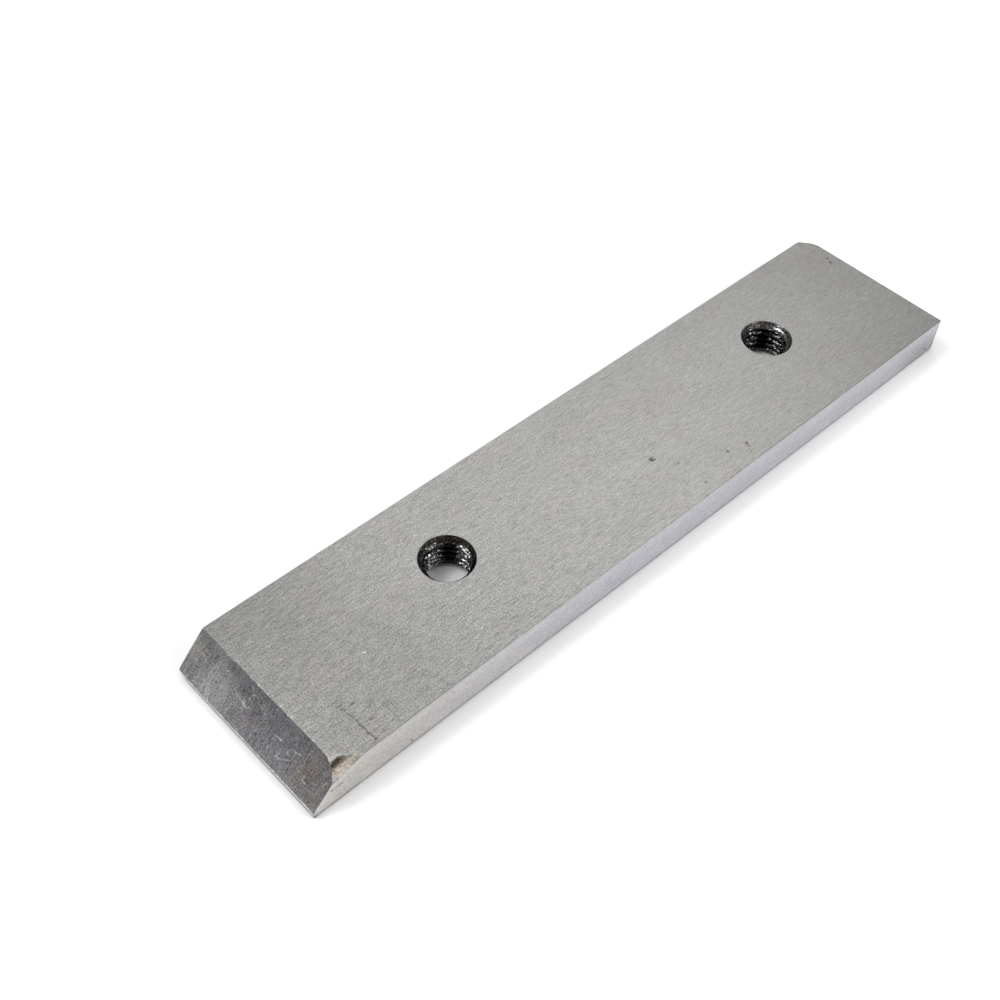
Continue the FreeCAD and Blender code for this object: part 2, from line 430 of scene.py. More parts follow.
def mark_break(mesh):
    """Broken rises fast inside the rim, stain with painted shade and browned fade from it, and
    painted shade lies on the worn slope beside it.
    """
    x, y, z = read_all(mesh.vertices, "co", wide=3).reshape(-1, 3).T / MM
    reach, arc = scoop_reach(x, y), bevel_arc(y)
    near = (z > BREAK_FLOOR) & (x < corner_x + BREAK_ALONG)
    in_corner = near & (y < FRONT + SCOOP_ACROSS) & (x > arc - 0.01)
    broken = np.clip((reach + 0.1) / 0.3, 0, 1) * in_corner
    along = np.interp(x - corner_x, [5.6, 6.6, 8.8, 10.2], [0.5, 1.0, 0.9, 0.0])
    # Stain and painted shade: strongest at the rim, fading a little way inside it.
    stain_and_shade = bell(np.clip(reach - 0.3, 0, None), 0.5) * along * in_corner
    browned = bell(np.clip(reach, 0, None), 1.5) * (0.35 + 0.65 * along) * in_corner
    from_arc = np.clip((x - arc - 0.1) / 0.5, 0, 1) * near
    painted_slope_shade = np.clip((THICK - 0.01 - z) / 0.06, 0, 1) * from_arc * (1 - broken)
    for name, values in zip(MARKS, (broken, stain_and_shade, browned, painted_slope_shade)):
        layer = mesh.attributes.new(name, "FLOAT", "POINT")
        layer.data.foreach_set("value", values.astype(np.float32))
    return int((broken > 0.5).sum())


print("points inside the break:", mark_break(steel_mesh))

# %% [markdown]
# ## Edges that catch the light
# A ground edge is sharp, but never a perfect line: it is rounded by a tenth of a millimetre, and
# at the foot by nearly half of one. A Bevel modifier does that, with a weight on each edge where
# two surfaces meet. The weight varies along the edge, and four small nicks widen it in the brow
# of the bevel. The narrow faces that the modifier makes take a finish of their own.

# %% How widely each edge is rounded, in millimetres
EDGE_ROUND = 0.5
BROW_NICKS = ((22.9, 0.34), (19.1, 0.26), (15.8, 0.3), (8.7, 0.24))
edge_widths = {
    ("top", "front"): 0.13, ("top", "end"): 0.15, ("top", "back"): 0.15,
    ("bevel", "top"): 0.06, ("bevel", "front"): 0.07, ("bevel", "back"): 0.12,
    ("bevel", "land"): 0.16, ("land", "front"): 0.1, ("land", "back"): 0.2,
    ("front", "end"): 0.2, ("end", "back"): 0.15, ("front", "bottom"): 0.45,
    ("end", "bottom"): 0.4, ("back", "bottom"): 0.4, ("land", "bottom"): 0.45,
}
widths = np.zeros((len(SURFACES), len(SURFACES)))
for (one, other), width in edge_widths.items():
    a, b = SURFACES.index(one), SURFACES.index(other)
    widths[a, b] = widths[b, a] = width
print("kinds of edge that are rounded:", len(edge_widths))


# %% Weigh the edges where two surfaces meet
WEAR, WEAR_SEED, NICK_REACH, BREAK_EDGE = 0.45, 31, 0.35, 0.3


def surfaces_at_edges(mesh):
    """The lowest and the highest surface number among the faces at each edge."""
    loop_edges = read_all(mesh.loops, "edge_index", int)
    codes = read_all(mesh.attributes["surface"].data, "value", int)
    loop_codes = np.repeat(codes, read_all(mesh.polygons, "loop_total", int))
    low = np.full(len(mesh.edges), len(SURFACES))
    high = np.full(len(mesh.edges), -1)
    np.minimum.at(low, loop_edges, loop_codes)
    np.maximum.at(high, loop_edges, loop_codes)
    return low, high


def weigh_edges(mesh):
    """Width by the two surfaces, times random wear, plus a bell at each nick in the brow."""
    low, high = surfaces_at_edges(mesh)
    ends = read_all(mesh.edges, "vertices", int, 2).reshape(-1, 2)
    places = read_all(mesh.vertices, "co", wide=3).reshape(-1, 3)
    x, y, z = places[ends].mean(axis=1).T / MM
    width = widths[low, high] * (1 + WEAR * grain(x / 1.3 + z, y / 0.9, WEAR_SEED))
    on_brow = (low == SURFACES.index("top")) & (high == SURFACES.index("bevel"))
    for across, nick in BROW_NICKS:
        width += on_brow * nick * bell(y - FRONT - across, NICK_REACH)
    at_break = (x < strip_end[0]) & (y < FRONT + 0.1) & (z > 7)
    weight = np.where(low != high, width, 0) * np.where(at_break, BREAK_EDGE, 1) / EDGE_ROUND
    layer = mesh.attributes.new("bevel_weight_edge", "FLOAT", "EDGE")
    layer.data.foreach_set("value", np.clip(weight, 0, 1).astype(np.float32))
    return int((weight > 0).sum())


print("rounded edges:", weigh_edges(steel_mesh))

# %% Round the edges
FINISHES = ("ground", "side", "bevel", "hole", "edge")
SHARP_ANGLE = math.radians(38)
steel_mesh.polygons.foreach_set("use_smooth", np.ones(len(steel_mesh.polygons), bool))
steel_mesh.set_sharp_from_angle(angle=SHARP_ANGLE)
rounding = blade.modifiers.new("rounded edges", "BEVEL")
rounding.limit_method = "WEIGHT"
rounding.width = EDGE_ROUND * MM
rounding.segments = 3
rounding.use_clamp_overlap = False
rounding.harden_normals = True
rounding.material = FINISHES.index("edge")
print("faces round the edges take finish number", rounding.material)

# %% [markdown]
# ## Tools for the finishes
# Every finish is painted with noise in millimetres, read from the place on the object. A few
# short helpers add one node each to the node tree that was opened last, and join it to what feeds
# it, so that a finish reads like a recipe.

# %% Helpers for numbers, vectors and colours
def add_node(kind, inputs=(), **settings):
    """Add a node with its options, and feed its inputs, by name or in order, with what is given."""
    node = tree.nodes.new("ShaderNode" + kind)
    for name, value in settings.items():
        setattr(node, name, value)
    for name, value in inputs.items() if isinstance(inputs, dict) else enumerate(inputs):
        if isinstance(value, bpy.types.NodeSocket):
            tree.links.new(value, node.inputs[name])
        else:
            node.inputs[name].default_value = value
    return node


def maths(operation, first, second=0.0, third=0.0):
    """One sum on numbers."""
    return add_node("Math", (first, second, third), operation=operation).outputs[0]


def linear(value, slope, start):
    """A value times a slope, plus a start."""
    return maths("MULTIPLY_ADD", value, slope, start)


def times(product, *factors):
    """Numbers multiplied by one another."""
    for factor in factors:
        product = maths("MULTIPLY", product, factor)
    return product


def vectors(operation, first, second, third=(0, 0, 0)):
    """One sum on vectors or colours; a distance or a dot product comes out as a number."""
    outputs = add_node("VectorMath", (first, second, third), operation=operation).outputs
    return outputs["Value" if operation in ("DISTANCE", "DOT_PRODUCT") else "Vector"]


def scaled(vector, factor):
    """A vector or a colour times a number."""
    feeds = {0: vector, "Scale": factor}
    return add_node("VectorMath", feeds, operation="SCALE").outputs[0]


def ramp(value, low, high, out_low=0.0, out_high=1.0, kind="SMOOTHSTEP"):
    """Carry a value from one range to another, held at the ends."""
    feeds = value, low, high, out_low, out_high
    return add_node("MapRange", feeds, interpolation_type=kind).outputs[0]


def tint(share, under, over):
    """Lay one colour over another by a share."""
    under, over = ((*shade, 1) if isinstance(shade, tuple) else shade for shade in (under, over))
    return add_node("Mix", {0: share, 6: under, 7: over}, data_type="RGBA").outputs[2]


def any_of(masks):
    """The strongest of several masks."""
    strongest = masks[0]
    for mask in masks[1:]:
        strongest = maths("MAXIMUM", strongest, mask)
    return strongest


# %% [markdown]
# Places and noise come next. Noise that is squeezed along one axis turns into streaks, and noise
# whose three colours differ a little turns into the faint tints that oil and handling leave.

# %% Places, noise and mottling
def noise_node(place, grains, detail, rough, shift):
    """A noise node with so many grains per millimetre along X, Y and Z."""
    feeds = {"Vector": place, "Scale": grains, "Location": (shift, shift * 0.7, shift * 1.3)}
    stretched = add_node("Mapping", feeds).outputs[0]
    feeds = {"Vector": stretched, "Scale": 1.0, "Detail": detail, "Roughness": rough}
    return add_node("TexNoise", feeds)


def noise(place, grains, detail=2.0, rough=0.5, shift=0.0):
    """Grey noise from nought to one."""
    return noise_node(place, grains, detail, rough, shift).outputs[0]


def axes(place):
    """X, Y and Z of a place as three numbers."""
    return add_node("SeparateXYZ", (place,)).outputs


def mottle(*parts):
    """One, plus each noise less a half, times its amount."""
    total = 1.0 - sum(amount for _, amount in parts) / 2
    for part, amount in parts:
        total = linear(part, amount, total)
    return total


def tinge(colour, place, grains, amount, shift):
    """A colour times coloured noise, so that the tint drifts by an amount."""
    clouds = noise_node(place, grains, 1.0, 0.5, shift).outputs[1]
    drift = vectors("MULTIPLY_ADD", clouds, (amount,) * 3, (1 - amount / 2,) * 3)
    return vectors("MULTIPLY", colour, drift)


def shaken(place, reach, grains=2.5, shift=9.0):
    """A place moved by up to half the reach, so that marks drawn there are ragged."""
    clouds = noise_node(place, (grains,) * 3, 1.0, 0.5, shift).outputs[1]
    offset = vectors("MULTIPLY_ADD", clouds, (reach,) * 3, (-reach / 2,) * 3)
    return vectors("ADD", place, offset)


# %% [markdown]
# Scratches, nicks and pits are drawn one by one, because this blade has its own. A spot is the
# distance to a point. A stroke is the distance to the nearest point of a short line: the share of
# the way along the line is held between nought and one, and the rest is the distance again.

# %% Spots and strokes
PLANES = {
    "top": lambda x, y: (x, y, THICK),
    "front": lambda x, z: (x, FRONT, z),
    "flat": lambda x, y: (x, y, 0),
}


def spot(place, centre, radius, strength=1.0, soft=0.5):
    """The strength inside a ball round a centre, falling to nought at its radius."""
    away = vectors("DISTANCE", place, centre)
    return ramp(away, radius, radius * (1 - soft), 0.0, strength)


def stroke(place, start, end, width, strength=1.0):
    """The strength along the line between two points, falling to nought at its width."""
    start, end = np.array(start, float), np.array(end, float)
    along = end - start
    arm = vectors("SUBTRACT", place, tuple(start))
    share = vectors("DOT_PRODUCT", arm, tuple(along / (along @ along)))
    share = add_node("Clamp", (share,)).outputs[0]
    away = vectors("DISTANCE", arm, scaled(tuple(along), share))
    return ramp(away, width, 0.15 * width, 0.0, strength)


def drawn(place, plane, rows, slim=1.0):
    """All marks of a table: one or two places of two numbers, then a width and a strength."""
    masks = []
    for *spans, width, strength in rows:
        points = [PLANES[plane](*spans[i:i + 2]) for i in range(0, len(spans), 2)]
        mark = spot if len(points) == 1 else stroke
        masks.append(mark(place, *points, width * slim, strength))
    return any_of(masks)


print("marks can be drawn on:", list(PLANES))

# %% [markdown]
# A finish starts as a new material. The five steels differ only in colour, roughness and relief,
# so one function builds them, from a recipe that says what those three are.

# %% Start a finish, and make steel from a recipe
finishes = {}


def new_finish(name):
    """A material and its Principled shader; the helpers now add to its node tree."""
    global tree
    material = bpy.data.materials.new(name)
    material.use_nodes = True
    tree = material.node_tree
    return material, tree.nodes["Principled BSDF"]


def steel(name, recipe):
    """A metal whose recipe gives its colour, its roughness, its relief and the relief's depth."""
    material, shader = new_finish(name)
    place = add_node("TexCoord").outputs["Object"]
    place = add_node("Mapping", {"Vector": place, "Scale": (1 / MM,) * 3}).outputs[0]
    colour, rough, height, depth = recipe(place)
    bump = add_node("Bump", {"Height": height, "Distance": depth * MM}).outputs[0]
    for socket, feed in (("Base Color", colour), ("Roughness", rough), ("Normal", bump)):
        tree.links.new(feed, shader.inputs[socket])
    shader.inputs["Metallic"].default_value = 1.0
    print("finish", name, "has", len(tree.nodes), "nodes")
    return material


print("finishes to make:", FINISHES)

# %% [markdown]
# ## The ground top face
# A surface grinder leaves short fine streaks along the blade. They are noise that is stretched
# along X, in three sizes, with soft clouds under them. A painted sheen shifts the tone too: away
# from the bevel the front half is painted a little lighter than the back half, and a painted swell
# of light lies on the back half near the bevelled end. On top lie the marks that this blade has:
# a dark scratch across it near the bevel, pits, bright nicks and faint warm stains. The rows of
# each table are places on the face in millimetres, then a size, then a strength.

# %% The marks on the top face
DARK_MARKS = (
    (-84.7, -13.6, -84.4, -14.6, 0.26, 0.7), (-84.4, -14.6, -84.3, -15.9, 0.2, 0.55),
    (-84.3, -15.9, -84.35, -17.1, 0.26, 0.7), (-84.35, -17.1, -84.3, -18.6, 0.44, 0.58),
    (-84.3, -18.6, -84.35, -19.3, 0.4, 0.65), (-84.35, -19.3, -84.05, -20.8, 0.3, 0.78),
    (-84.05, -21.5, 0.36, 0.85), (-84.8, -22.0, 0.4, 0.5), (-85.3, -11.0, 0.5, 0.45),
    (-84.9, -12.0, 0.45, 0.5), (-84.6, -12.4, 0.35, 0.5), (-84.7, -11.1, 0.35, 0.45),
    (-83.0, -12.3, -82.3, -12.35, 0.3, 0.65), (-82.9, -13.5, -82.5, -13.55, 0.26, 0.55),
    (-82.1, -17.5, 0.45, 0.55), (-81.7, -12.8, 0.3, 0.35), (-81.6, -21.3, 0.5, 0.35),
    (9.8, -6.4, 0.85, 0.9), (10.3, -6.9, 0.5, 0.6), (30.6, -17.7, 0.6, 0.8),
    (30.2, -18.5, 0.45, 0.7), (25.2, -16.5, 0.5, 0.8), (35.3, -20.2, 0.4, 0.6),
    (14.1, -19.5, 0.6, 0.6), (13.7, -11.3, 0.6, 0.3), (99.4, 12.7, 0.6, 0.7),
    (98.7, 11.1, 0.65, 0.7),
)
BRIGHT_MARKS = (
    (-92.1, -10.45, -91.5, -10.1, 0.24, 0.55), (-73.5, -4.2, -73.2, -4.5, 0.34, 0.9),
    (-93.4, -3.4, 0.5, 0.7), (-93.4, -6.8, 0.5, 0.7), (-93.3, -13.8, 0.4, 0.6),
    (-94.0, 0.4, 0.4, 0.8),
)
WARM_STAINS = (
    (21, 6.5, 7, 1.0), (30, 8, 4, 0.7), (-4, 3.5, 4, 0.8), (2.5, -21, 3.2, 0.8),
    (95, 14, 6, 0.8), (77, -20.5, 4.5, 0.8), (72.5, 2.2, 2.4, 0.9), (-84.2, -18.6, 1.6, 0.9),
    (-84.6, -21.4, 1.2, 0.9),
)
print("marks on the top:", len(DARK_MARKS) + len(BRIGHT_MARKS), "and stains:", len(WARM_STAINS))

# %% Colour of the ground face
GROUND_GREY, WARM_GREY = (0.445, 0.441, 0.428), (0.456, 0.441, 0.42)
STAIN = (0.45, 0.412, 0.39)


def ground_colour(place):
    """Warm grey with streaks along X, drifting tints, stains and a painted sheen; also gives the
    streaks.
    """
    swayed = shaken(place, 0.12, 0.35, 3)
    streaks = noise(swayed, (0.42, 5.5, 0.42), 3.0, 0.62)
    fine = noise(swayed, (2.6, 5.0, 2.6), 1.0, 0.6, 20)
    long_streaks = noise(place, (0.16, 1.5, 0.2), 2.0, 0.5, 40)
    clouds = noise(place, (0.05, 0.11, 0.1), 2.0, 0.5, 80)
    grit = maths("MAXIMUM", mottle((streaks, 1.75), (fine, 2.3), (long_streaks, 0.3)), 0.1)
    x, y, _ = axes(place)
    fade = ramp(x, -70, 90, 1.0, 0.66)
    tone = linear(maths("SUBTRACT", grit, 1.0), fade, 1.0)
    # Painted sheen: away from the bevel the front half is painted lighter than the back half, with
    # a painted swell of light near the bevelled end.
    across = ramp(y, -22, 22, 0.05, -0.085, kind="LINEAR")
    painted_sheen = linear(across, ramp(x, -40, 10), 1.0)
    painted_sheen = maths("ADD", painted_sheen, spot(place, (-57, 17, THICK), 26, 0.1, 1.0))
    tone = times(tone, mottle((clouds, 0.16)), painted_sheen)
    warm = ramp(noise(place, (0.09, 0.12, 0.1), 1.0, 0.5, 120), 0.5, 0.75)
    colour = tint(warm, GROUND_GREY, WARM_GREY)
    stains = times(drawn(place, "top", WARM_STAINS), 0.35)
    colour = tinge(tint(stains, colour, STAIN), place, (0.7, 0.7, 0.7), 0.06, 60)
    return scaled(colour, tone), streaks


# %% [markdown]
# The break is the colour of torn steel: its crests are lighter than its valleys, rust has browned
# it, and stain with painted shade is darkest under the rim. Only the lowest tip is still bare and
# grey.

# %% Colour of the break
RAW_GRAIN = (0.43, 0.375, 0.32), (0.72, 0.675, 0.62)
BROWN_GRAIN = (0.2, 0.15, 0.108), (0.5, 0.4, 0.31)
BARE_GRAIN = (0.42, 0.41, 0.395), (0.66, 0.65, 0.63)
DEEP_STAIN_AND_SHADE = (0.04, 0.031, 0.023)


def break_colour(place, torn, stain_and_shade, browned):
    """Raw grain that is browned, then bare at its tip, then darkened by stain and painted shade;
    torn is its noise.
    """
    crests = ramp(torn, 0.38, 0.62)
    raw, brown, bare = (tint(crests, *pair) for pair in (RAW_GRAIN, BROWN_GRAIN, BARE_GRAIN))
    raw = tint(times(browned, 0.8), raw, brown)
    x, y, _ = axes(place)
    tip = times(ramp(x, corner_x + 7.4, corner_x + 6.2), ramp(y, FRONT + 2, FRONT + 1))
    raw = tint(tip, raw, bare)
    patchy = times(stain_and_shade, ramp(torn, 0.42, 0.7, 0.97, 0.6))
    return tint(patchy, raw, DEEP_STAIN_AND_SHADE)


# %% Ground steel
PIT, NICK, HOLE_RIM = (0.09, 0.08, 0.065), (0.85, 0.85, 0.84), (0.05, 0.045, 0.04)


def ground_steel(place):
    """Ground steel with its marks, raw brownish grain where the corner is broken, and painted shade
    on the worn slope beside it.
    """
    colour, streaks = ground_colour(place)
    ragged = shaken(place, 0.22)
    gaps = ramp(noise(place, (3, 3, 3), 1.0, 0.5, 7), 0.34, 0.48)
    dark = times(drawn(ragged, "top", DARK_MARKS), gaps)
    bright = times(drawn(ragged, "top", BRIGHT_MARKS), gaps)
    colour = tint(bright, tint(dark, colour, PIT), NICK)
    broken, stain_and_shade, browned, painted_slope_shade = (
        add_node("Attribute", attribute_name=name).outputs["Fac"] for name in MARKS
    )
    torn = noise(place, (2.2, 2.2, 3.6), 3.0, 0.7, 70)
    # Painted shade darkens the worn slope beside the break.
    colour = scaled(colour, ramp(painted_slope_shade, 0, 1, 1.0, 0.56, kind="LINEAR"))
    colour = tint(broken, colour, break_colour(place, torn, stain_and_shade, browned))
    for centre_x in HOLE_X:
        rim = spot(place, (centre_x, HOLE_Y, THICK), MOUTH_R + 0.2, 0.6, 0.03)
        colour = tint(rim, colour, HOLE_RIM)
    rough = linear(broken, 0.25, linear(streaks, 0.2, 0.27))
    height = linear(times(torn, broken), 6.0, linear(dark, -1.5, streaks))
    return colour, rough, height, 0.012


finishes["ground"] = steel("ground_face_steel", ground_steel)

# %% [markdown]
# ## The sides
# The sides were ground too, but finer, so they are smoother and a little bluish, and warmer near
# the bevel where they have been handled. The land is darker, a painted contact shade lies along
# the foot, and the front side is darker towards its far low corner. Painted light from the floor
# makes the sides lighter low down, and they are a little darker towards the far end. The front
# side also has a short dark dent near the bevel, a pit, and a rusty corner at the far end. Its
# tables give places along the blade and heights.

# %% Side steel
SIDE_DARK = (
    (-95.2, 5.5, -94.4, 5.32, 0.3, 0.6), (-94.4, 5.32, -93.3, 5.32, 0.36, 0.9),
    (-96.05, 5.1, -95.9, 5.6, 0.32, 0.75), (-95.3, 2.2, -93.9, 1.95, 0.3, 0.25),
    (-76.2, 1.7, -76.0, 1.3, 0.42, 0.75),
    (101.3, 3.0, 101.9, 0.6, 0.7, 0.7), (97.5, 3.0, 100.5, 0.3, 0.3, 0.5),
)
SIDE_BRIGHT = (
    (-96.1, 6.4, -95.0, 6.75, 0.26, 0.45), (-93.9, 4.75, -93.1, 4.6, 0.22, 0.4),
    (-93.8, 3.1, -93.6, 3.15, 0.3, 0.5), (-92.6, 3.4, -92.4, 3.45, 0.26, 0.5),
)
COOL_SIDE, HANDLED_SIDE = (0.538, 0.531, 0.567), (0.55, 0.534, 0.508)
LAND_GREY, DENT, SIDE_NICK = (0.425, 0.426, 0.433), (0.15, 0.13, 0.11), (0.8, 0.79, 0.77)


def side_steel(place):
    """Smooth bluish grey with fine grain, faint lines along the blade and a few dents."""
    lines = noise(place, (0.25, 0.25, 2.6), 3.0, 0.6, 5)
    fine = noise(place, (3.6, 3.6, 6.0), 0.0, 0.5, 25)
    clouds = noise(place, (0.08, 0.08, 0.3), 2.0, 0.5, 50)
    x, _, z = axes(place)
    colour = tint(ramp(x, -20, -95, kind="LINEAR"), COOL_SIDE, HANDLED_SIDE)
    colour = tint(ramp(x, -99.4, -100.4), colour, LAND_GREY)
    colour = tinge(colour, place, (0.5, 0.5, 0.5), 0.1, 90)
    # Painted light from the floor makes the sides lighter low down, and painted contact shade
    # darkens their foot. They are also darker towards the far end and its low corner.
    along = ramp(x, -102, 102, 1.03, 0.935)
    far_low = linear(times(ramp(x, 82, 98), ramp(z, 12, 2)), -0.32, 1.0)
    tone = times(along, ramp(z, 0, 6, 1.16, 1.005), far_low)
    painted_contact_shade, top_edge = ramp(z, 0.3, 0.8, 0.2, 1.0), ramp(z, 9.1, 9.9, 1.0, 0.82)
    grit = mottle((lines, 0.08), (fine, 0.85), (clouds, 0.18))
    for factor in (tone, painted_contact_shade, top_edge, grit):
        colour = scaled(colour, factor)
    ragged = shaken(place, 0.3)
    dark = drawn(ragged, "front", SIDE_DARK)
    colour = tint(dark, colour, DENT)
    colour = tint(drawn(ragged, "front", SIDE_BRIGHT), colour, SIDE_NICK)
    rough = linear(clouds, 0.15, 0.3)
    return colour, rough, linear(dark, -6.0, lines), 0.004


finishes["side"] = steel("drawn_side_steel", side_steel)

# %% [markdown]
# ## The bevel
# The bevel has been ground across its slope and then knocked about. It is darker than the rest,
# partly its own colour and partly painted shade, and painted shade darkens it further towards the
# top of its slope. It has clouds of brown, violet and grey-green, fine lines up the slope and many
# small bright scratches. They are drawn in the bevel's own two lengths: how far a place lies from
# the front side, and how far up the slope from the land.

# %% The scratches on the bevel
BEVEL_SCRATCHES = (
    (29.6, 6.3, 28.0, 5.9, 0.3, 0.5), (28.0, 5.9, 25.6, 5.5, 0.36, 0.8),
    (26.9, 6.1, 1.1, 0.3), (30.3, 6.5, 0.5, 0.5), (29.1, 5.7, 0.35, 0.7),
    (43.3, 4.7, 42.0, 4.8, 0.3, 0.5), (43.2, 6.6, 42.3, 7.1, 0.25, 0.4),
    (42.3, 7.1, 41.0, 6.8, 0.25, 0.4), (41.0, 6.8, 39.7, 6.1, 0.25, 0.4),
    (40.6, 1.6, 0.45, 0.7), (34.4, 8.1, 33.7, 8.6, 0.3, 0.6), (41.2, 8.1, 0.4, 0.5),
    (26.1, 7.5, 0.4, 0.7), (25.1, 6.0, 0.35, 0.7), (42.3, 0.4, 41.5, 1.8, 0.28, 0.4),
    (40.6, 0.7, 40.0, 1.0, 0.25, 0.4), (40.0, 1.0, 38.8, 0.9, 0.25, 0.4),
    (27.2, 10.1, 26.3, 9.5, 0.28, 0.5), (26.0, 8.6, 25.2, 9.1, 0.28, 0.5),
    (25.2, 9.1, 24.3, 9.0, 0.25, 0.4), (25.5, 0.7, 25.1, 0.4, 0.25, 0.6),
    (25.1, 0.4, 24.6, 0.9, 0.25, 0.6), (26.2, 2.1, 25.6, 2.5, 0.28, 0.4),
    (36.4, 1.3, 35.6, 2.0, 0.3, 0.4), (35.7, 0.9, 35.2, 1.5, 0.3, 0.4),
    (40.2, 4.0, 0.35, 0.4), (37.8, 6.4, 37.2, 6.8, 0.3, 0.35), (34.9, 4.6, 33.5, 4.4, 0.3, 0.3),
    (16.7, 5.9, 15.5, 6.2, 0.26, 0.65), (15.5, 6.2, 14.7, 6.1, 0.36, 0.95),
    (11.3, 6.6, 10.0, 6.75, 0.28, 0.8), (10.0, 6.75, 8.8, 7.15, 0.24, 0.65),
    (10.5, 6.5, 10.3, 5.8, 0.22, 0.45), (12.3, 5.4, 12.1, 4.9, 0.3, 0.8),
    (12.0, 4.9, 11.1, 5.3, 0.25, 0.7), (11.9, 3.6, 10.8, 4.4, 0.25, 0.6),
    (14.3, 2.5, 13.7, 3.0, 0.28, 0.75), (13.7, 3.0, 13.9, 3.5, 0.26, 0.6),
    (13.4, 2.6, 12.9, 3.0, 0.28, 0.5), (19.1, 2.5, 0.35, 0.8), (16.8, 2.6, 0.5, 0.4),
    (21.2, 3.6, 19.8, 4.9, 0.25, 0.5), (21.6, 1.8, 20.9, 2.1, 0.25, 0.5),
    (6.1, 4.4, 6.0, 3.4, 0.28, 0.5), (6.0, 3.3, 5.0, 3.3, 0.28, 0.6),
    (3.8, 4.5, 2.9, 4.9, 0.28, 0.5), (7.5, 9.4, 0.5, 0.35), (7.6, 8.6, 0.4, 0.3),
    (6.9, 8.5, 0.45, 0.3), (14.0, 3.4, 13.2, 2.6, 0.26, 0.7), (13.0, 3.1, 12.6, 3.1, 0.3, 0.6),
    (1.2, 6.8, 1.7, 5.7, 0.3, 0.35), (16.8, 3.2, 16.6, 2.4, 0.35, 0.35),
    (11.9, 9.0, 0.35, 0.6), (22.3, 8.9, 0.35, 0.7), (29.4, 6.0, 28.7, 5.5, 0.35, 0.35),
    (22.3, 8.0, 0.35, 0.6), (21.2, 7.6, 0.4, 0.4), (19.2, 10.3, 0.35, 0.6),
    (11.3, 8.3, 11.4, 7.7, 0.22, 0.5), (11.4, 7.7, 11.8, 7.6, 0.25, 0.5),
    (14.3, 8.5, 13.8, 7.8, 0.24, 0.35), (16.8, 5.0, 16.0, 5.5, 0.24, 0.35),
    (17.8, 1.7, 17.4, 1.2, 0.24, 0.35), (21.0, 3.3, 0.35, 0.5),
)
BEVEL_CLOUDS = (
    (35, 2.3, 8.0, 0.7, (0.52, 0.525, 0.505)),
    (36, 5, 5.5, 0.35, (0.47, 0.465, 0.455)),
    (30.5, 3.5, 6.0, 0.7, (0.46, 0.463, 0.455)),
    (26.9, 6.1, 1.6, 0.35, (0.522, 0.539, 0.479)),
    (6.5, 4.6, 4.2, 0.5, (0.331, 0.291, 0.257)),
    (22, 2.8, 3.2, 0.35, (0.348, 0.296, 0.326)),
    (25.5, 9, 2.6, 0.5, (0.225, 0.221, 0.212)),
    (23, 6.5, 3.0, 0.4, (0.225, 0.221, 0.225)),
    (15.5, 3.2, 4.2, 0.7, (0.285, 0.28, 0.3)),
    (1.2, 1.2, 2.8, 0.8, (0.27, 0.258, 0.255)),
    (43.4, 7, 4.2, 0.85, (0.475, 0.45, 0.418)),
    (39, 9.6, 6.0, 0.75, (0.4, 0.39, 0.395)),
    (41, 4, 4.5, 0.5, (0.4, 0.393, 0.385)),
    (2.7, 7.8, 1.3, 0.4, (0.313, 0.322, 0.383)),
    (26.4, 2.8, 1.6, 0.35, (0.313, 0.287, 0.313)),
)
print("scratches on the bevel:", len(BEVEL_SCRATCHES), "and clouds:", len(BEVEL_CLOUDS))

# %% Bevel steel
LOW_GREY, HIGH_GREY, SCRATCH = (0.352, 0.346, 0.362), (0.248, 0.243, 0.256), (0.95, 0.94, 0.92)
PLAIN, WARMED = (1, 1, 1), (1.04, 0.99, 0.95)
slope_share = math.hypot(RUN, THICK - LAND) / (THICK - LAND)


def bevel_steel(place):
    """Clouded steel, darkened partly by painted shade, with lines up the slope and bright ragged
    scratches.
    """
    _, y, z = axes(place)
    across = maths("SUBTRACT", y, FRONT)
    up = linear(z, slope_share, -LAND * slope_share)
    flat = add_node("CombineXYZ", (across, up)).outputs[0]
    # Painted shade: darker than the top face, and darker still towards the top of the slope.
    colour = tint(ramp(up, 1, 9.5, kind="LINEAR"), LOW_GREY, HIGH_GREY)
    cloudy = shaken(flat, 2.2, 0.5, 33)
    for x, y, radius, strength, shade in BEVEL_CLOUDS:
        colour = tint(spot(cloudy, (x, y, 0), radius, strength, 0.8), colour, shade)
    colour = tinge(colour, flat, (0.9, 0.7, 1), 0.22, 15)
    colour = vectors("MULTIPLY", colour, tint(ramp(across, 12, 4), PLAIN, WARMED))
    lines = noise(flat, (4.2, 0.25, 1), 1.0, 0.6, 9)
    patches = noise(flat, (0.26, 0.24, 1), 2.0, 0.5, 29)
    specks = noise(flat, (6.5, 5.5, 1), 0.0, 0.5, 59)
    tone = mottle((lines, 1.15), (specks, 2.6), (patches, 0.5))
    brushed = ramp(noise(flat, (3.2, 0.4, 1), 2.0, 0.6, 69), 0.6, 0.72, 1.0, 1.3)
    colour = scaled(colour, times(maths("MAXIMUM", tone, 0.1), brushed))

    ragged = shaken(flat, 0.4, 3.4)
    gaps = ramp(noise(flat, (4.2, 4.2, 1), 1.0, 0.5, 49), 0.36, 0.56, 0.15, 1.0)
    scratches = times(drawn(ragged, "flat", BEVEL_SCRATCHES, 0.64), gaps, 1.35)
    scratches = maths("MINIMUM", scratches, 1.0)
    colour = tint(scratches, colour, SCRATCH)
    rough = linear(patches, 0.2, 0.28)
    return colour, rough, linear(scratches, 1.5, lines), 0.008


finishes["bevel"] = steel("bevel_steel", bevel_steel)

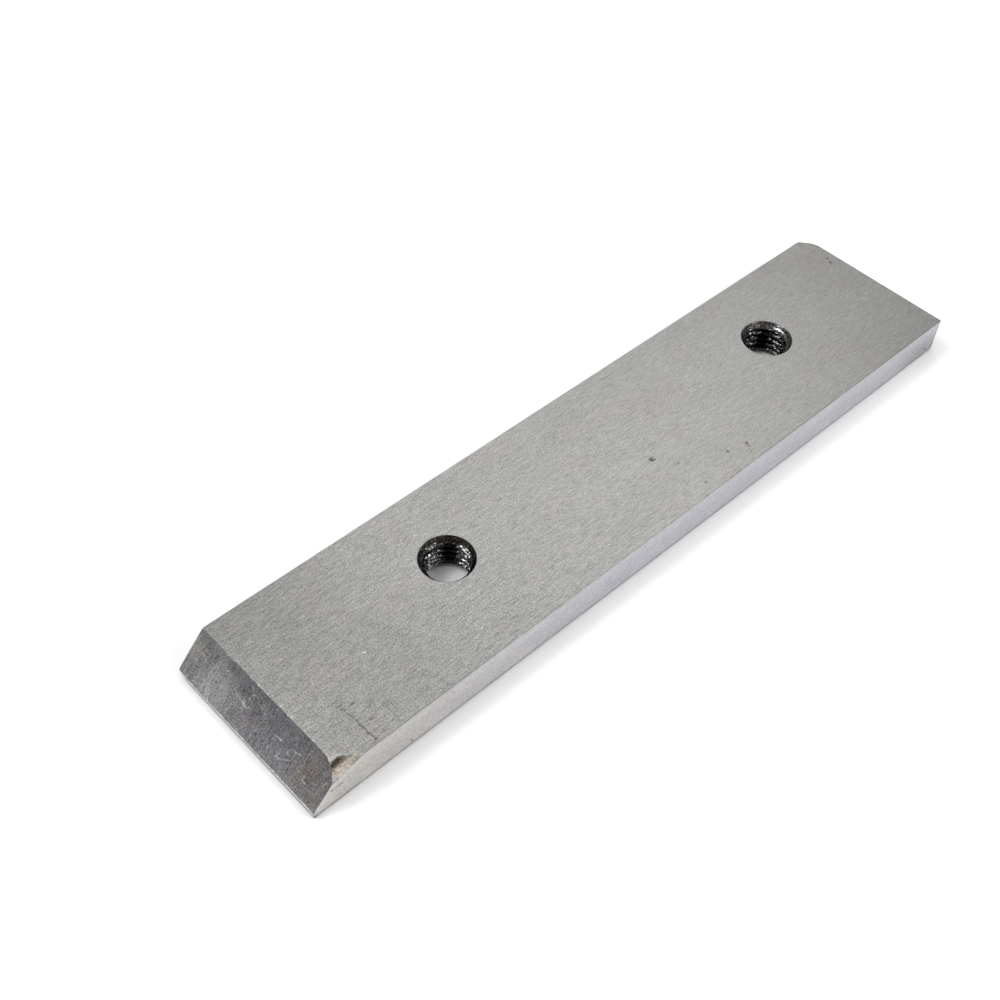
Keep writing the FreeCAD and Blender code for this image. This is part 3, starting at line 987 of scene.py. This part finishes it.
# %% [markdown]
# ## The tapped holes
# The threads are black with oil and scale. On the two sides of each hole that lie across the view
# they are painted as darkly shining metal, a painted sheen that puts the glints there and leaves
# the middle black. Black gloss is nearly invisible except where it mirrors a lamp, so much of this
# finish is in its relief: coarse grains that break each highlight into glints. The mouths are a
# little rusty. The second hole is greyer, and a painted glint sits on its rim.

# %% Black thread
SCALE_BLACK, DARK_METAL, SHEEN_METAL = (0.003,) * 3, (0.028, 0.028, 0.03), (0.42, 0.418, 0.42)
RUST = (0.045, 0.037, 0.03), (0.17, 0.115, 0.085)
OIL = (0.06, 0.058, 0.054), (0.2, 0.192, 0.184)
RIM_GLINT, RIM_GLINT_R = (0.52, 0.55, 0.58), 1.3
SHEEN_SIDE_DIRECTION = (-0.68, 0.73, 0)


def thread_steel(place):
    """Glossy black with coarse grains, with a painted sheen on two sides, and flecks of rust at the
    mouths.
    """
    x, y, z = axes(place)
    second = maths("GREATER_THAN", x, sum(HOLE_X) / 2)
    x = linear(second, HOLE_X[0] - HOLE_X[1], x)
    arm = add_node("CombineXYZ", (x, y)).outputs[0]
    arm = vectors("SUBTRACT", arm, (HOLE_X[0], HOLE_Y, 0))
    # Painted sheen: the sides across the view get shining metal for the glints; the second hole
    # also gets a band of it.
    sheen_sides = ramp(maths("ABSOLUTE", vectors("DOT_PRODUCT", arm, SHEEN_SIDE_DIRECTION)), 0.9, 2.4)
    sheen_sides = any_of([sheen_sides, times(ramp(z, 5.5, 7.5, 0.0, 0.4), second)])
    mouth = ramp(maths("ABSOLUTE", maths("SUBTRACT", z, THICK / 2)), 3.1, 3.5)
    grains = noise(place, (1.1, 1.1, 3.2), 1.0, 0.5, 2)
    flecks = ramp(noise(place, (1.4, 1.4, 3.6), 2.0, 0.7, 22), 0.5, 0.66)
    colour = tint(sheen_sides, SCALE_BLACK, tint(flecks, DARK_METAL, SHEEN_METAL))
    colour = scaled(colour, linear(second, -0.4, 1.0))
    rust, oily = tint(flecks, *RUST), tint(flecks, *OIL)
    rust = tint(any_of([sheen_sides, second]), rust, oily)
    rust = scaled(rust, linear(second, 0.9, 1.0))
    # Painted glint: a bright bluish spot on the mouth of the second hole.
    rim_glint = spot(place, (HOLE_X[1] + 6.1, HOLE_Y + 0.7, THICK - 0.3), RIM_GLINT_R, 0.8)
    colour = tint(mouth, colour, tint(rim_glint, rust, RIM_GLINT))
    return colour, ramp(grains, 0.3, 0.7, 0.08, 0.24), grains, 0.2


finishes["hole"] = steel("black_thread", thread_steel)

# %% [markdown]
# ## Worn edges
# Handling polishes the edges first. The lower ones are broken into short bright dashes, down to a
# line of painted contact shade at the floor. The upper ones are darker, except at the brow of the
# bevel, where a few spots flash. All of it is one coarse noise, read in different ranges.

# %% Edge steel
EDGE_GREY = (0.47, 0.468, 0.462)


def edge_steel(place):
    """Bright dashes below, darker steel above, bright flashes along the brow and painted contact
    shade at the floor.
    """
    dashes = noise(place, (1.1, 1.1, 1.1), 2.0, 0.6, 3)
    x, _, z = axes(place)
    low_tone = ramp(dashes, 0.35, 0.68, 0.62, 1.5)
    high_tone = ramp(dashes, 0.35, 0.68, 0.52, 0.74)
    at_brow = times(ramp(x, -89, -92), ramp(z, 9, 9.6))
    flash = times(ramp(dashes, 0.58, 0.66), at_brow)
    high_tone = linear(flash, 1.3, high_tone)
    tone = add_node("Mix", {0: ramp(z, 3, 6), 2: low_tone, 3: high_tone}).outputs[0]
    # Painted contact shade darkens the edges near the floor.
    colour = scaled(EDGE_GREY, times(tone, ramp(z, 0.3, 0.9, 0.15, 1.0)))
    return colour, ramp(dashes, 0.3, 0.7, 0.42, 0.26), dashes, 0.03


finishes["edge"] = steel("worn_edge_steel", edge_steel)

# %% [markdown]
# ## A finish for every face
# A mesh keeps a numbered list of materials, and each face only stores a number in it. The faces
# still know which surface they were made for, so one small table turns surfaces into finishes.

# %% Give every face its finish
for name in FINISHES:
    steel_mesh.materials.append(finishes[name])
finish_of = {
    "top": "ground", "bottom": "ground", "front": "side", "end": "side", "back": "side",
    "land": "side", "bevel": "bevel", "hole": "hole",
}
finish_number = np.array([FINISHES.index(finish_of[name]) for name in SURFACES])
codes = read_all(steel_mesh.attributes["surface"].data, "value", int)
numbers = finish_number[codes].astype(np.int32)
steel_mesh.polygons.foreach_set("material_index", numbers)
steel_mesh.update()
print("faces with each finish:", dict(zip(FINISHES, np.bincount(numbers).tolist())))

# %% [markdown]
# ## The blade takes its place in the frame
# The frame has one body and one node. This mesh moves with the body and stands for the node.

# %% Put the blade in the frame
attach(blade, "root")
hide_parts("shear_blade")
print("the blade rides on root and stands for shear_blade")

# %% [markdown]
# ## A white floor
# The blade lies on white paper that runs out of the picture on all sides. The paper is a little
# brighter to the camera and in reflections than it is as a source of light, which gives a clean
# white ground and still keeps the blade's shadow.

# %% Floor
FLOOR_HALF, PAPER, PAPER_SEEN = 2.0, 0.8, 1.25
corners = [(-1, -1), (1, -1), (1, 1), (-1, 1)]
floor_mesh = bpy.data.meshes.new("floor")
floor_mesh.from_pydata([(x * FLOOR_HALF, y * FLOOR_HALF, 0) for x, y in corners], [], [range(4)])
floor = add_object("floor", floor_mesh)
paper, paper_shader = new_finish("white_paper")
rays = add_node("LightPath").outputs
seen = any_of([rays[f"Is {kind} Ray"] for kind in ("Camera", "Glossy", "Transmission")])
paper_colour = tint(seen, (PAPER,) * 3, (PAPER_SEEN,) * 3)
tree.links.new(paper_colour, paper_shader.inputs["Base Color"])
paper_shader.inputs["Roughness"].default_value = 1.0
paper_shader.inputs["Specular IOR Level"].default_value = 0.0
floor_mesh.materials.append(paper)
print("floor:", 2 * FLOOR_HALF, "m square")

# %% [markdown]
# ## Soft light
# Ground steel shows what stands around it, so the light is six soft lamps in a dim even room.
# Large boxes stand to the left and to the right, and the top face mirrors a weaker one behind it
# as a gentle swell of brightness in its middle. Two small lamps near the first two are harder and
# give the threads their glints, and a faint box hangs high above.

# %% The room
ROOM_LOW, ROOM_HIGH = 0.42, 0.2
world = bpy.data.worlds.new("studio")
bpy.context.scene.world = world
world.use_nodes = True
tree = world.node_tree
room_height = axes(add_node("TexCoord").outputs["Generated"])[2]
room_light = ramp(room_height, 0.0, 1.0, ROOM_LOW, ROOM_HIGH, kind="LINEAR")
background = tree.nodes["Background"]
background.inputs["Color"].default_value = (1, 1, 1, 1)
tree.links.new(room_light, background.inputs["Strength"])
print("room light from", ROOM_LOW, "to", ROOM_HIGH)

# %% The soft boxes
SOFT_BOXES = (
    ("left_box", 142, 60, 0.6, 2.7),
    ("left_lamp", 140, 61, 0.16, 0.7),
    ("right_box", -49, 45, 0.34, 2.05),
    ("right_lamp", -80, 42, 0.12, 0.25),
    ("back_box", 41, 48, 0.5, 0.85),
    ("high_box", 223, 82, 0.4, 0.5),
)
BOX_DISTANCE = 0.9


def add_soft_box(name, azimuth, elevation, size, power):
    """A square area lamp that looks at the blade; both angles are in degrees, the first from X."""
    data = bpy.data.lights.new(name, "AREA")
    data.shape = "SQUARE"
    data.size = size
    data.energy = power
    lamp = add_object(name, data)
    turn, climb = math.radians(azimuth), math.radians(elevation)
    flat = math.cos(climb)
    aim = Vector((flat * math.cos(turn), flat * math.sin(turn), math.sin(climb)))
    lamp.location = aim * BOX_DISTANCE
    lamp.rotation_mode = "QUATERNION"
    lamp.rotation_quaternion = aim.to_track_quat("Z", "Y")
    return lamp


for box in SOFT_BOXES:
    print("soft box", add_soft_box(*box).name)

# %% [markdown]
# ## The camera
# The camera looks down on the bevelled corner from close by, which makes the near end look
# larger. Its place and its three directions are written out: right, up and backwards.

# %% Camera
CAMERA_RIGHT = (0.7395407, -0.67272927, 0.02269093)
CAMERA_UP = (0.50173112, 0.57340561, 0.64766649)
CAMERA_BACK = (-0.44871531, -0.46759099, 0.761586)
CAMERA_PLACE = (-0.154754, -0.127624, 0.230235)
SENSOR_MM, LENS_MM = 36.0, 46.215
camera_data = bpy.data.cameras.new("camera")
camera_data.sensor_width = SENSOR_MM
camera_data.lens = LENS_MM
camera = add_object("camera", camera_data)
turned = Matrix((CAMERA_RIGHT, CAMERA_UP, CAMERA_BACK)).transposed().to_4x4()
camera.matrix_world = Matrix.Translation(CAMERA_PLACE) @ turned
bpy.context.scene.camera = camera
bpy.context.scene.view_settings.view_transform = "Standard"
print("camera", round(Vector(CAMERA_PLACE).length * 1000), "mm from the middle of the blade")
